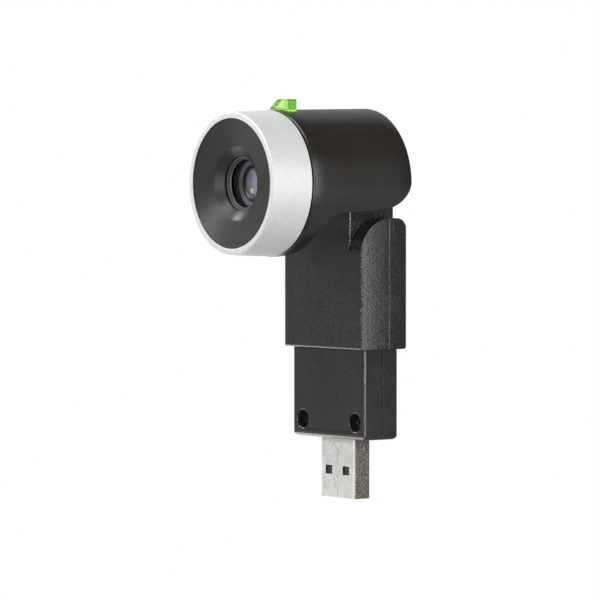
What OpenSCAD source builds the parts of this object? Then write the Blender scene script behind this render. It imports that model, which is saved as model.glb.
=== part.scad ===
// Plug-in camera: round head with a silver ring and a sliding shutter tab, nodding on a flat stem
// that ends in a USB-A plug. Millimetres, +Z up, the lens looks along -Y.
// Origin: centre of the plug where it leaves the lower block.

// Which sub-part to draw

/* [Plug] */
// Width of the USB-A plug shell
plug_w = 12.0; // [11.9:0.05:12.1]
// Thickness of the plug shell
plug_t = 4.5; // [4.45:0.05:4.55]
// Length of plug that stands out of the lower block
plug_len = 13.3; // [11.8:0.1:15]
// Sheet thickness of the plug shell
plug_sheet = 0.3; // [0.25:0.05:0.35]

/* [Lower block] */
// Width of the lower block
base_w = 25.6; // [23.5:0.1:28]
// Depth of the lower block, front to back
base_d = 9.3; // [8.8:0.1:11.2]
// Height of the lower block
base_h = 19.9; // [16:0.1:26]
// Width across the two case screws
screw_pitch = 18.7; // [17.8:0.1:19.4]
// Diameter of the holes over the case screws
screw_hole_d = 3.9; // [3.9:0.1:4.6]

/* [Stem] */
// Width of the stem at its widest
stem_w = 28.7; // [27:0.1:32]
// Depth of the stem, front to back
stem_d = 12.6; // [12:0.1:14]
// Height of the stem from its foot to the top of its shoulders
stem_h = 28.7; // [26:0.1:36]
// Width of the neck between the shoulders
neck_w = 19.4; // [17:0.1:20]
// Wall thickness of all the mouldings
wall = 1.6; // [1.4:0.1:1.8]

/* [Head] */
// Outer radius of the barrel where it meets the ring
head_r = 16.0; // [15.5:0.1:19]
// Length of the barrel behind the ring
barrel_len = 27.1; // [26.5:0.1:32]
// Length of the silver ring
ring_len = 10.1; // [9.6:0.1:11]
// Radius of the round back edge under the head, which is also the radius of the neck's knuckle
knuckle_r = 7.1; // [6.6:0.1:7.3]
// Height of the flat underside of the head above the shoulders of the stem
head_lift = 1.9; // [1.6:0.1:4]

/* [Shutter] */
// Length of the shutter tab along the barrel
tab_len = 2.4; // [1.8:0.1:3]
// How far the shutter tab stands above the barrel
tab_rise = 2.1; // [1.2:0.1:3]
// Angle the shutter tab turns through from open to closed
shutter_travel = 22.8; // [20:0.1:23]

/* [Fits] */
// Radial clearance of every piece that turns on a pin or a round seat
running_gap = 0.05; // [0.03:0.01:0.1]
// Diameter of the hinge pin
hinge_pin_d = 3.0; // [2.5:0.1:3.4]

/* [Hidden] */
$fn = 64;
eps = 0.01;

// stem
stem_front = -6.5;
stem_back = stem_front + stem_d;
stem_split = 0.9;
neck_split = -0.2;
stem_foot = base_h;
shoulder_top = stem_foot + stem_h;
side_bulge = 0.5;
shoulder_front_r = 7.7;
shoulder_back_r = 2.9;
foot_front_r = 0.5;
foot_back_r = 0.9;
neck_foot = shoulder_top - shoulder_front_r + 0.6;
neck_front_in = stem_front + wall;
neck_back_in = stem_back - wall;
neck_in_half = neck_w / 2 - 1.3;

// lower block
base_front = -4.8;
base_back = base_front + base_d;
base_split = 0.45;
base_edge_r = 1.1;
screw_z = 3.8;
tenon_w = 20;
tenon_d = 6.4;
flange_lift = wall;
flange_t = 1.5;
plug_board_front = 0.2;
plug_board_back = 1.2;
plug_board_foot = 7.2;

// plug
tongue_face = -plug_t / 2 + plug_sheet + 1.85;
block_top = 5.6;
contact_x = [-3.5, -1, 1, 3.5];
contact_half = 0.48;
contact_bed = 0.3;

// head: everything about the lens axis is placed by its depth behind the front of the ring
head_flat = shoulder_top + head_lift;
pivot_y = stem_back - 0.3 - knuckle_r;
pivot_z = head_flat + knuckle_r + 0.1;
axis_z = pivot_z - 1.5;
barrel_back = pivot_y + knuckle_r - 0.05;
groove_len = 0.5;
barrel_draft = 0.45;
barrel_front = barrel_back - barrel_len + groove_len;
ring_back = barrel_front - groove_len;
ring_front = ring_back - ring_len;
nose_r = head_r - 1.15;
nose_in_r = nose_r - 1.2;
head_in_r = head_r - wall;
chin_y = barrel_front + 3.4;
flat_drop = 0.6;
scoop_r = 6.7;
scoop_y = chin_y + scoop_r;
scoop_z = head_flat - flat_drop - scoop_r;
chin_r = 3.0;
nod_down = 30;
nod_up = 10;

// hinge
slot_half = neck_w / 2 + 0.3;
knuckle_gap = 0.25;
bracket_in = neck_w / 2 + 0.3;
bracket_t = 1.0;
bracket_y = pivot_y - 11.2;
bracket_screw_x = 11.6;
bracket_screw_z = axis_z + 4.3;
tube_r = 2.6;
strap_t = 1.0;
strap_y = neck_front_in + 0.6;
strap_foot = neck_foot - 4;
arm_screw_z = strap_foot + 2.2;
arm_screw_x = 3.6;

// lens set, depths behind the front of the ring
lip_r = head_r - 1.85;
ring_lip = 0.2;
dish_depth = 1.2;
dish_in_r = 7.95;
hole_r = 5.95;
hole_depth = 2.75;
hood_back = 4.6;
blade_front = 4.8;
blade_t = 0.4;
plate_front = 5.5;
plate_back = 6.7;
frame_skirt_t = 1.1;
frame_back = 12.6;
board_t = 0.8;
board_front = 13.2;
barrel_face = 5.8;
barrel_tail = 10.6;
barrel_r = 6.0;
holder_front = 8.8;
frame_screw_r = 9.6;
frame_screw_angles = [12, 90, 168];

// shutter
sleeve_out = nose_in_r - 0.25;
sleeve_in = sleeve_out - 1.05;
frame_r = sleeve_in - running_gap;
sleeve_front = 5.9;
sleeve_back = 8.9;
tab_front = ring_len + 1.8;
tab_left = -2.0;
tab_right = 4.7;
tab_centre = 4.8;
drive_d = 1.1;
drive_r = sleeve_out - drive_d / 2;
blade_pivot_r = 8.6;
blade_pin_r = 0.75;
blade_half_swing = atan2(drive_r * sin(shutter_travel / 2), drive_r * cos(shutter_travel / 2) - blade_pivot_r);
blade_disc_r = 3.9;

// ---------- helpers ----------

// Stands children on the lens axis: their own z runs backwards along the axis, their x stays x and
// their y points down.
module on_lens(depth = 0) {
    translate([0, ring_front + depth, axis_z])
        rotate([-90, 0, 0])
            children();
}

// Tube about the lens axis between two depths
module lens_tube(front, back, r_out, r_in) {
    on_lens(front)
        difference() {
            cylinder(h = back - front, r = r_out);
            translate([0, 0, -1])
                cylinder(h = back - front + 2, r = r_in);
        }
}

// Disc about the lens axis between two depths
module lens_disc(front, back, r) {
    on_lens(front)
        cylinder(h = back - front, r = r);
}

// Rod along the lens axis at polar place (radius, angle from +X towards +Z)
module rod_at(r_place, angle, front, back, r) {
    on_lens(front)
        translate([r_place * cos(angle), -r_place * sin(angle), 0])
            cylinder(h = back - front, r = r);
}

// Rod along X through the hinge axis
module hinge_rod(x_from, x_to, r) {
    translate([x_from, pivot_y, pivot_z])
        rotate([0, 90, 0])
            cylinder(h = x_to - x_from, r = r);
}

// Box given by its two corners
module span(low, high) {
    translate(low)
        cube([high[0] - low[0], high[1] - low[1], high[2] - low[2]]);
}

// Outline drawn in the YZ plane and pushed out sideways to both sides of X = 0
module push_x(half) {
    translate([-half, 0, 0])
        rotate([90, 0, 90])
            linear_extrude(2 * half)
                children();
}

function arc(cx, cy, r, from, to, n) =
    [for (i = [0 : n]) [cx + r * cos(from + (to - from) * i / n), cy + r * sin(from + (to - from) * i / n)]];

// Rectangle outline with its own radius at each corner: front-left, front-right, back-right, back-left
module soft_rect(x0, y0, x1, y1, r_front, r_back, n = 4) {
    polygon(concat(
        arc(x0 + r_front, y0 + r_front, r_front, 180, 270, n),
        arc(x1 - r_front, y0 + r_front, r_front, 270, 360, n),
        arc(x1 - r_back, y1 - r_back, r_back, 0, 90, n),
        arc(x0 + r_back, y1 - r_back, r_back, 90, 180, n)));
}

// Small pan-head screw standing on its tip: own z runs from the tip up to the head
module small_screw(len, shank_r, cap_r, cap_h) {
    cross_w = 0.45;
    difference() {
        union() {
            cylinder(h = len + eps, r = shank_r);
            translate([0, 0, len])
                cylinder(h = cap_h, r = cap_r);
        }
        for (turn = [0, 90])
            rotate([0, 0, turn])
                translate([-cap_r * 0.65, -cross_w / 2, len + cap_h * 0.35])
                    cube([cap_r * 1.3, cross_w, cap_h]);
    }
}

// ---------- head shapes ----------

// Everything below the underside of the head, grown upwards by g to leave a wall
module under_head(g, half) {
    push_x(half) {
        difference() {
            translate([pivot_y, pivot_z - 40])
                square([40, 40]);
            translate([pivot_y, pivot_z])
                circle(r = knuckle_r - g);
        }
        polygon([[pivot_y + eps, head_flat - 40], [pivot_y + eps, head_flat + g],
            [scoop_y, head_flat - flat_drop + g], [scoop_y, head_flat - 40]]);
        translate([chin_y - g, head_flat - 40])
            square([scoop_r + g + eps, scoop_z - head_flat + 40]);
        translate([scoop_y, scoop_z])
            circle(r = scoop_r + g);
        difference() {
            translate([chin_y - chin_r - g, axis_z - head_r - 5])
                square([chin_r + eps, 5 + chin_r]);
            translate([chin_y - chin_r - g, axis_z - head_r + chin_r])
                circle(r = chin_r);
        }
    }
}

// Space the neck sweeps as the head nods, seen from the head, grown by g
module neck_sweep(g, half) {
    face = pivot_y - stem_front + g;
    back = knuckle_r + g;
    far = 16;
    down = nod_down + 1;
    up = nod_up + 1;
    foot = [-face * cos(down), face * sin(down)];
    heel = [back * cos(up), back * sin(up)];
    push_x(half)
        translate([pivot_y, pivot_z]) {
            circle(r = knuckle_r + g);
            polygon([foot,
                foot + far * [-sin(down), -cos(down)],
                heel + far * [sin(up), -cos(up)],
                heel]);
        }
}

module head_solid() {
    edge = 0.5;
    bevel = 0.35;
    rotate_depth = barrel_front - ring_front;
    back_depth = barrel_back - ring_front;
    on_lens()
        rotate_extrude()
            polygon(concat(
                [[0, dish_depth + 1.9], [nose_r - 0.05, dish_depth + 1.9], [nose_r - 0.05, ring_len + eps],
                [head_r - 0.8, ring_len + eps], [head_r - 0.8, rotate_depth],
                [head_r - bevel, rotate_depth], [head_r, rotate_depth + bevel]],
                arc(head_r + barrel_draft - edge, back_depth - edge, edge, 0, 90, 4),
                [[0, back_depth]]));
}

module head_cavity() {
    difference() {
        union() {
            lens_disc(0, ring_len + 1, nose_in_r);
            lens_disc(ring_len + 0.9, barrel_back - ring_front - wall, head_in_r);
        }
        under_head(wall, 30);
    }
}

// Post on the barrel wall that takes one of the long frame screws
module frame_post(angle) {
    post_front = board_front + board_t;
    post_len = 3.6;
    half = 1.7;
    step = 0.8;
    on_lens(post_front)
        rotate([0, 0, -angle])
            translate([frame_screw_r - half, -half, 0]) {
                cube([2 * half, 2 * half, post_len]);
                translate([0, 0, step])
                    cube([head_in_r + 0.4 - frame_screw_r + half, 2 * half, post_len - step]);
            }
}

// Boss in a cheek of the head that takes a bracket screw
module bracket_boss(side) {
    foot = bracket_y + bracket_t;
    half_x = 1.6;
    half_z = 1.9;
    mirror([side < 0 ? 1 : 0, 0, 0])
        span([bracket_screw_x - half_x, foot, bracket_screw_z - half_z], [head_r, foot + 6, bracket_screw_z + half_z]);
}

module head_housing() {
    slot_turn = [90 - tab_centre - 6.6, 90 - tab_centre + shutter_travel + 6.6];
    color("#2b2a29")
        difference() {
            union() {
                difference() {
                    head_solid();
                    head_cavity();
                    under_head(0, 30);
                }
                for (angle = frame_screw_angles)
                    frame_post(angle);
                for (side = [-1, 1])
                    intersection() {
                        bracket_boss(side);
                        lens_disc(ring_len + 2, barrel_back - ring_front - 0.5, head_r - 0.5);
                    }
            }
            neck_sweep(knuckle_gap, slot_half);
            for (angle = frame_screw_angles)
                rod_at(frame_screw_r, angle, board_front, board_front + board_t + 3.4, 0.8);
            for (side = [-1, 1])
                translate([side * bracket_screw_x, bracket_y, bracket_screw_z])
                    rotate([-90, 0, 0])
                        cylinder(h = 5, r = 0.8);
            on_lens(tab_front - 0.15)
                rotate_extrude(angle = slot_turn[1] - slot_turn[0], start = -slot_turn[1])
                    translate([nose_in_r - 1, 0])
                        square([4, tab_len + 0.3]);
        }
}

// ---------- ring, dish and lens set ----------

module front_ring() {
    edge = 0.4;
    front_r = head_r - 0.5;
    back_r = head_r - 0.1;
    soft = 0.1;
    color("#c8cacb")
        on_lens()
            rotate_extrude()
                polygon(concat(
                    [[nose_r, ring_len], [nose_r, ring_lip + 0.55], [lip_r, ring_lip], [lip_r, soft], [lip_r + soft, 0]],
                    arc(front_r - edge, edge, edge, -90, 0, 4),
                    [[back_r, ring_len - 0.15], [back_r - 0.15, ring_len]]));
}

// Shallow dish with a steeper cone down to the lens hole, and a skirt that plugs the nose
module lens_dish() {
    skirt_r = nose_in_r - 0.02;
    color("#1d1c1b")
        on_lens()
            rotate_extrude()
                polygon([[nose_r - 0.05, ring_lip + 0.6], [lip_r, ring_lip + 0.05], [dish_in_r, dish_depth],
                    [hole_r, hole_depth], [hole_r, hole_depth + 0.55], [8.6, hole_depth + 0.55],
                    [8.6, dish_depth + 1.3], [skirt_r - 1.0, dish_depth + 1.0], [skirt_r - 1.0, 4.4],
                    [skirt_r, 4.4], [skirt_r, dish_depth + 1.85], [nose_r - 0.05, dish_depth + 1.85]]);
}

// Stepped light baffle glued behind the hole of the dish
module lens_hood() {
    front = hole_depth + 0.55;
    color("#141414")
        on_lens()
            rotate_extrude()
                polygon([[8.4, front], [5.55, front], [5.45, 3.75], [5.2, 3.95], [5.2, 4.05],
                    [5.9, 4.1], [6.1, hood_back], [8.4, hood_back]]);
}

module lens_barrel() {
    color("#202020")
        on_lens()
            rotate_extrude()
                polygon([[barrel_r, barrel_face], [5.15, barrel_face], [5.15, 6.75], [4.35, 6.75],
                    [4.35, 8.3], [3.9, 8.3], [3.9, 9.1], [3.4, 9.1], [3.4, 10.2], [2.7, 10.2],
                    [2.7, barrel_tail], [5.5, barrel_tail], [5.5, 8.0], [barrel_r, 8.0]]);
}

// Ring that screws in over the front lens
module lens_retainer() {
    color("#3a3f46")
        on_lens()
            rotate_extrude()
                polygon([[5.13, 5.95], [4.75, 5.95], [3.4, 6.4], [3.4, 6.5], [4.3, 6.73], [5.13, 6.73]]);
}

// Lens given by its radius, edge faces and the heights of its two domes
module lens_element(r, front, back, dome_front, dome_back, tint) {
    n = 8;
    rf = (r * r + dome_front * dome_front) / (2 * dome_front);
    rb = (r * r + dome_back * dome_back) / (2 * dome_back);
    color(tint)
        on_lens()
            rotate_extrude()
                polygon(concat(
                    [for (i = [0 : n]) let (x = r * i / n) [x, front - dome_front + rf - sqrt(rf * rf - x * x)]],
                    [for (i = [n : -1 : 0]) let (x = r * i / n) [x, back + dome_back - rb + sqrt(rb * rb - x * x)]]));
}

module front_lens() {
    lens_element(4.3, 6.78, 7.3, 0.6, 0.5, "#8fa3c8");
}

module middle_lens() {
    lens_element(3.85, 8.35, 8.6, 0.3, 0.35, "#a7b4c9");
}

module rear_lens() {
    lens_element(3.35, 9.5, 9.9, 0.35, 0.25, "#b6c3b8");
}

module lens_holder() {
    half = 6.5;
    color("#242424")
        difference() {
            union() {
                lens_disc(holder_front, 11.2, 7.4);
                on_lens(10.9)
                    translate([-half, -half, 0])
                        cube([2 * half, 2 * half, board_front - 10.9]);
            }
            lens_disc(holder_front - 1, 10.9, 5.52);
            lens_disc(10.5, 11.6, 3.4);
            on_lens(11.5)
                translate([-4.6, -4.6, 0])
                    cube([9.2, 9.2, 4]);
        }
}

module ir_filter() {
    color("#5b3340")
        on_lens(11.5)
            translate([-4.2, -4.2, 0])
                cube([8.4, 8.4, 0.3]);
}

module image_sensor() {
    color("#2f4a52")
        on_lens(12.3)
            translate([-3.6, -3.0, 0])
                cube([7.2, 6.0, board_front - 12.3]);
}

module camera_board() {
    half = head_in_r - 1.8;
    top = sleeve_in - 1.35;
    back_y = ring_front + board_front + board_t;
    scoop_top = scoop_z + sqrt(pow(scoop_r + wall, 2) - pow(scoop_y - back_y, 2));
    bottom = axis_z - scoop_top - 0.2;
    color("#1f5a3a")
        difference() {
            intersection() {
                lens_disc(board_front, board_front + board_t, head_in_r - 0.3);
                on_lens(board_front)
                    translate([-half, -top, 0])
                        cube([2 * half, top + bottom, board_t]);
            }
            for (angle = frame_screw_angles)
                rod_at(frame_screw_r, angle, board_front - 1, board_front + 3, 0.95);
        }
}

module camera_chips() {
    back = board_front + board_t;
    color("#303338") {
        on_lens(back)
            translate([-3.5, -6.5, 0])
                cube([7, 6, 0.9]);
        on_lens(back)
            translate([-5, 2.2, 0])
                cube([10, 3.2, 1.4]);
        for (x = [-6.4, 5.2], y = [-5.6, -3.4])
            on_lens(back)
                translate([x, y, 0])
                    cube([1.2, 1.2, 0.7]);
    }
}

// Cup that carries the lens set, with a hole over each long screw
module inner_frame() {
    color("#262626")
        difference() {
            union() {
                lens_disc(plate_front, plate_back, frame_r);
                lens_tube(plate_back - eps, frame_back, frame_r, frame_r - frame_skirt_t);
                for (angle = frame_screw_angles)
                    rod_at(frame_screw_r, angle, plate_back - eps, board_front, 2.1);
            }
            lens_disc(plate_front - 1, plate_back + 1, barrel_r + 0.15);
            for (angle = frame_screw_angles) {
                rod_at(frame_screw_r, angle, plate_front - 1, board_front + 1, 1.05);
                rod_at(frame_screw_r, angle, plate_front - 1, plate_front + 1.2, 1.95);
            }
            rod_at(blade_pivot_r, -90, plate_front - 1, plate_back + 1, blade_pin_r);
            under_head(wall + 0.2, 30);
        }
}

module frame_screws() {
    tip = board_front + board_t + 3.2;
    seat = plate_front + 1.2;
    color("#a9a9a4")
        for (angle = frame_screw_angles)
            on_lens(tip)
                translate([frame_screw_r * cos(angle), -frame_screw_r * sin(angle), 0])
                    rotate([180, 0, 0])
                        small_screw(tip - seat, 0.8, 1.8, 1.05);
}

// ---------- shutter ----------

// Green ring turned by the tab; its arm passes out through the slot in the barrel
module shutter_sleeve() {
    arm_half = 5.8;
    tab_top = head_r + 0.2 + tab_rise;
    color("#8bd32f") {
        lens_tube(sleeve_front, sleeve_back, sleeve_out, sleeve_in);
        rod_at(drive_r, -90 - shutter_travel / 2, blade_front - 0.1, sleeve_front + 0.5, drive_d / 2);
        on_lens(sleeve_back - eps)
            rotate_extrude(angle = 2 * arm_half, start = -(90 - tab_centre) - arm_half)
                translate([sleeve_in, 0])
                    square([sleeve_out - sleeve_in, tab_front + tab_len - sleeve_back]);
        on_lens(tab_front)
            rotate_extrude(angle = 2 * arm_half, start = -(90 - tab_centre) - arm_half)
                translate([sleeve_in, 0])
                    square([head_r + 0.4 - sleeve_in, tab_len]);
        difference() {
            on_lens(tab_front)
                linear_extrude(tab_len)
                    polygon([[tab_left, -head_r + 1], [tab_right, -head_r + 1], [tab_right, -tab_top],
                        [tab_left + 2.9, -tab_top], [tab_left, -head_r - 0.15]]);
            lens_disc(tab_front - 1, tab_front + tab_len + 1, head_r + 0.25);
        }
    }
}

// Leaf that swings over the lens: disc, pivot eye and a slotted tail for the drive pin
module shutter_blade() {
    body_turn = 90 - 2 * blade_half_swing;
    tail_turn = -90 - blade_half_swing;
    slot_in = drive_r - blade_pivot_r - drive_d / 2 - 0.35;
    slot_half = drive_d / 2 + 0.15;
    fork_half = 1.1;
    fork_len = nose_in_r - blade_pivot_r - 0.2;
    color("#161616")
        on_lens(blade_front)
            translate([0, blade_pivot_r, 0])
                difference() {
                    union() {
                        cylinder(h = blade_t, r = 1.6);
                        rotate([0, 0, -body_turn]) {
                            translate([blade_pivot_r, 0, 0])
                                cylinder(h = blade_t, r = blade_disc_r);
                            translate([0, -1.3, 0])
                                cube([blade_pivot_r, 2.6, blade_t]);
                        }
                        rotate([0, 0, -tail_turn])
                            translate([0, -fork_half, 0])
                                cube([fork_len, 2 * fork_half, blade_t]);
                    }
                    translate([0, 0, -1])
                        cylinder(h = 3, r = blade_pin_r + running_gap);
                    rotate([0, 0, -tail_turn])
                        translate([slot_in, -slot_half, -1])
                            cube([fork_len, 2 * slot_half, 3]);
                }
}

module blade_pin() {
    color("#b9b9b4") {
        rod_at(blade_pivot_r, -90, blade_front - 0.05, plate_back, blade_pin_r);
        rod_at(blade_pivot_r, -90, hood_back + 0.02, blade_front - 0.04, 1.3);
    }
}

// ---------- hinge ----------

module hinge_bracket() {
    foot = axis_z - 1.6;
    arm_top = axis_z + 2.2;
    wing_foot = axis_z + 2.0;
    wing_rise = 5.7;
    wing_half = sqrt(pow(head_in_r, 2) - pow(wing_rise, 2)) - 0.2;
    plate_half = bracket_in + bracket_t / 2;
    eye_r = 3.1;
    color("#9c9e9f")
        difference() {
            union() {
                for (side = [-1, 1]) {
                    inner = side * (bracket_in + bracket_t / 2) - bracket_t / 2;
                    span([inner, bracket_y, foot], [inner + bracket_t, pivot_y, arm_top]);
                    hinge_rod(inner, inner + bracket_t, eye_r);
                }
                span([-wing_half, bracket_y, wing_foot], [wing_half, bracket_y + bracket_t, axis_z + wing_rise]);
                span([-plate_half, bracket_y, foot], [plate_half, bracket_y + bracket_t, arm_top]);
            }
            hinge_rod(-20, 20, hinge_pin_d / 2);
            for (side = [-1, 1])
                translate([side * bracket_screw_x, bracket_y - 1, bracket_screw_z])
                    rotate([-90, 0, 0])
                        cylinder(h = 4, r = 1.05);
        }
}

module bracket_screws() {
    tip = bracket_y + 4.6;
    color("#a9a9a4")
        for (side = [-1, 1])
            translate([side * bracket_screw_x, tip, bracket_screw_z])
                rotate([90, 0, 0])
                    small_screw(tip - bracket_y, 0.8, 1.55, 0.9);
}

module hinge_pin() {
    outer = bracket_in + bracket_t;
    groove = 0.35;
    color("#b4b6b7")
        difference() {
            union() {
                hinge_rod(-outer - 0.8, outer + 1.0, hinge_pin_d / 2);
                hinge_rod(-outer - 0.8, -outer, hinge_pin_d / 2 + 0.9);
            }
            difference() {
                hinge_rod(outer, outer + 0.4, hinge_pin_d);
                hinge_rod(outer - 1, outer + 2, hinge_pin_d / 2 - groove);
            }
        }
}

module pin_clip() {
    outer = bracket_in + bracket_t;
    color("#8d8f90")
        difference() {
            hinge_rod(outer + 0.02, outer + 0.38, hinge_pin_d / 2 + 0.9);
            hinge_rod(outer - 1, outer + 2, hinge_pin_d / 2 - 0.35);
            translate([outer - 1, pivot_y - 0.9, pivot_z])
                cube([3, 1.8, 6]);
        }
}

// Steel strap curled round the pin and screwed down inside the stem
module hinge_arm() {
    tube_half = neck_in_half - 0.6;
    strap_half = neck_in_half - 2.4;
    color("#8f9294")
        difference() {
            union() {
                hinge_rod(-tube_half, tube_half, tube_r);
                span([-strap_half, strap_y, strap_foot], [strap_half, strap_y + strap_t, pivot_z - 1.2]);
                span([-strap_half, strap_y, pivot_z - 2.2], [strap_half, pivot_y - 1, pivot_z - 1.2]);
            }
            hinge_rod(-20, 20, hinge_pin_d / 2 + running_gap);
            for (side = [-1, 1])
                translate([side * arm_screw_x, strap_y - 1, arm_screw_z])
                    rotate([-90, 0, 0])
                        cylinder(h = 4, r = 1.05);
        }
}

module arm_screws() {
    tip = stem_front + 0.7;
    seat = strap_y + strap_t;
    color("#a9a9a4")
        for (side = [-1, 1])
            translate([side * arm_screw_x, tip, arm_screw_z])
                rotate([-90, 0, 0])
                    small_screw(seat - tip, 0.8, 1.7, 1.0);
}

module thrust_washers() {
    inner = neck_w / 2 + 0.02;
    outer = bracket_in - 0.02;
    color("#c9b37a")
        for (side = [-1, 1])
            difference() {
                hinge_rod(side > 0 ? inner : -outer, side > 0 ? outer : -inner, hinge_pin_d / 2 + 1.4);
                hinge_rod(-20, 20, hinge_pin_d / 2 + running_gap);
            }
}

// ---------- stem ----------

// Plan of the stem: flat front, sides that swell gently to the parting line, small round back corners
module stem_plan() {
    half = stem_w / 2;
    front_run = stem_split - stem_front;
    back_run = stem_back - stem_split;
    n = 6;
    front_x = half - side_bulge;
    back_x = half - side_bulge * 0.5;
    soft = 0.5;
    right_side = concat(
        [[front_x - 0.35, stem_front], [front_x - 0.1, stem_front + 0.1]],
        [for (i = [0 : n]) let (t = i / n) [half - side_bulge * pow(1 - t, 2), stem_front + 0.35 + (front_run - 0.35) * t]],
        [for (i = [1 : n - 1]) let (t = i / n) [half - (half - back_x) * pow(t, 2), stem_split + (back_run - soft) * t]],
        arc(back_x - soft, stem_back - soft, soft, 0, 90, 4));
    polygon(concat(right_side, [for (i = [len(right_side) - 1 : -1 : 0]) [-right_side[i][0], right_side[i][1]]]));
}

// Side view of the stem up to the shoulders: big round in front, small round behind
module shoulder_side() {
    polygon(concat(
        arc(stem_back - foot_back_r, stem_foot + foot_back_r, foot_back_r, 0, -90, 5),
        arc(stem_front + foot_front_r, stem_foot + foot_front_r, foot_front_r, -90, -180, 4),
        arc(stem_front + shoulder_front_r, shoulder_top - shoulder_front_r, shoulder_front_r, 180, 90, 16),
        arc(stem_back - shoulder_back_r, shoulder_top - shoulder_back_r, shoulder_back_r, 90, 0, 8)));
}

module stem_solid() {
    half = neck_w / 2;
    relief = 0.5;
    difference() {
        union() {
            intersection() {
                translate([0, 0, stem_foot])
                    linear_extrude(stem_h)
                        stem_plan();
                push_x(stem_w)
                    shoulder_side();
            }
            translate([0, 0, neck_foot - 3])
                linear_extrude(pivot_z - neck_foot + 3)
                    soft_rect(-half, stem_front, half, pivot_y + knuckle_r, 0.3, 0.3, 3);
            hinge_rod(-half, half, knuckle_r);
        }
        for (side = [-1, 1])
            translate([side * (half + 0.05) - relief / 2, stem_front - 1, neck_foot + 0.3])
                cube([relief, 1.9, 0.7]);
    }
}

module stem_cavity() {
    room_top = shoulder_top - shoulder_front_r - 0.5;
    span([-stem_w / 2 + wall + 0.2, neck_front_in, stem_foot + wall], [stem_w / 2 - wall - 0.2, neck_back_in, room_top]);
    span([-neck_in_half, neck_front_in, stem_foot + wall], [neck_in_half, neck_back_in - 0.3, pivot_z]);
    hinge_rod(-neck_in_half, neck_in_half, knuckle_r - 1.4);
    hinge_rod(-20, 20, hinge_pin_d / 2 + 0.1);
    span([-tenon_w / 2 - 0.1, -tenon_d / 2 - 0.25, stem_foot - 1], [tenon_w / 2 + 0.1, tenon_d / 2 - 0.05, stem_foot + 3]);
}

// Half space in front of the parting line: the neck parts a little further forward than the rest
module front_side(gap) {
    span([-30, -30, 0], [30, stem_split - gap, shoulder_top - 8]);
    span([-30, -30, 0], [-neck_w / 2, stem_split - gap, 100]);
    span([neck_w / 2, -30, 0], [30, stem_split - gap, 100]);
    span([-30, -30, 0], [30, neck_split - gap, 100]);
}

// Fine groove that runs round the case at its parting line
module seam_groove(y, z_low, z_high, half, depth) {
    for (side = [-1, 1])
        translate([side * half, y, z_low])
            rotate([0, 0, 45])
                translate([-depth / 2, -depth / 2, 0])
                    cube([depth, depth, z_high - z_low]);
}

module stem_front_shell() {
    pad_r = 2.1;
    color("#2e2d2c")
        difference() {
            union() {
                intersection() {
                    difference() {
                        stem_solid();
                        stem_cavity();
                    }
                    front_side(0);
                }
                for (side = [-1, 1])
                    translate([side * arm_screw_x, neck_front_in - eps, arm_screw_z])
                        rotate([-90, 0, 0])
                            cylinder(h = 0.6 + eps, r = pad_r);
            }
            for (side = [-1, 1])
                translate([side * arm_screw_x, stem_front + 0.6, arm_screw_z])
                    rotate([-90, 0, 0])
                        cylinder(h = 4, r = 0.8);
            seam_groove(stem_split, stem_foot - 1, shoulder_top + 1, stem_w / 2, 0.25);
        }
}

module stem_rear_shell() {
    color("#2c2b2a")
        difference() {
            stem_solid();
            stem_cavity();
            front_side(0);
            seam_groove(stem_split, stem_foot - 1, shoulder_top + 1, stem_w / 2, 0.25);
        }
}

// ---------- lower block ----------

module base_solid() {
    half = base_w / 2;
    far = 60;
    intersection() {
        linear_extrude(base_h)
            soft_rect(-half, base_front, half, base_back, 0.5, 0.4, 3);
        translate([0, far / 2, 0])
            rotate([90, 0, 0])
                linear_extrude(far)
                    soft_rect(-half, 0, half, far, base_edge_r, base_edge_r, 4);
        push_x(far)
            soft_rect(base_front, 0, base_back, far, base_edge_r, base_edge_r, 4);
    }
    span([-tenon_w / 2, -tenon_d / 2 - 0.15, base_h - eps], [tenon_w / 2, tenon_d / 2 - 0.15, base_h + flange_lift + 0.05]);
    span([-tenon_w / 2 - 1.4, -tenon_d / 2 - 0.95, base_h + flange_lift + 0.04],
        [tenon_w / 2 + 1.4, tenon_d / 2 + 0.65, base_h + flange_lift + flange_t]);
}

module screw_column(x) {
    translate([x, base_front - 1, screw_z])
        rotate([-90, 0, 0])
            children();
}

module base_cavity() {
    pillar = 2.5;
    difference() {
        span([-base_w / 2 + wall, base_front + wall - 0.1, wall], [base_w / 2 - wall, base_back - wall + 0.1, base_h - wall]);
        for (side = [-1, 1])
            screw_column(side * screw_pitch / 2)
                cylinder(h = base_d + 2, r = pillar + 0.4);
    }
    span([-tenon_w / 2 + 1.2, -2.0, base_h - 3], [tenon_w / 2 - 1.2, 1.7, base_h + 10]);
    translate([0, 0, -1])
        linear_extrude(wall + 2)
            square([plug_w, plug_t], center = true);
}

module plug_front_shell() {
    bore_depth = 3.2;
    hole_chamfer = 0.3;
    color("#2f2e2d")
        difference() {
            intersection() {
                base_solid();
                span([-30, -30, -1], [30, base_split, 60]);
            }
            base_cavity();
            for (side = [-1, 1])
                screw_column(side * screw_pitch / 2) {
                    cylinder(h = bore_depth + 1, r = screw_hole_d / 2);
                    translate([0, 0, 1 - eps])
                        cylinder(h = hole_chamfer, r1 = screw_hole_d / 2 + hole_chamfer, r2 = screw_hole_d / 2);
                    cylinder(h = base_d, r = 1.1);
                }
            seam_groove(base_split, -1, base_h + 1, base_w / 2, 0.22);
        }
}

module plug_rear_shell() {
    color("#2b2a29")
        difference() {
            intersection() {
                base_solid();
                span([-30, base_split, -1], [30, 30, 60]);
            }
            base_cavity();
            for (side = [-1, 1])
                screw_column(side * screw_pitch / 2)
                    cylinder(h = base_d - 0.3, r = 0.95);
            seam_groove(base_split, -1, base_h + 1, base_w / 2, 0.22);
        }
}

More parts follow.
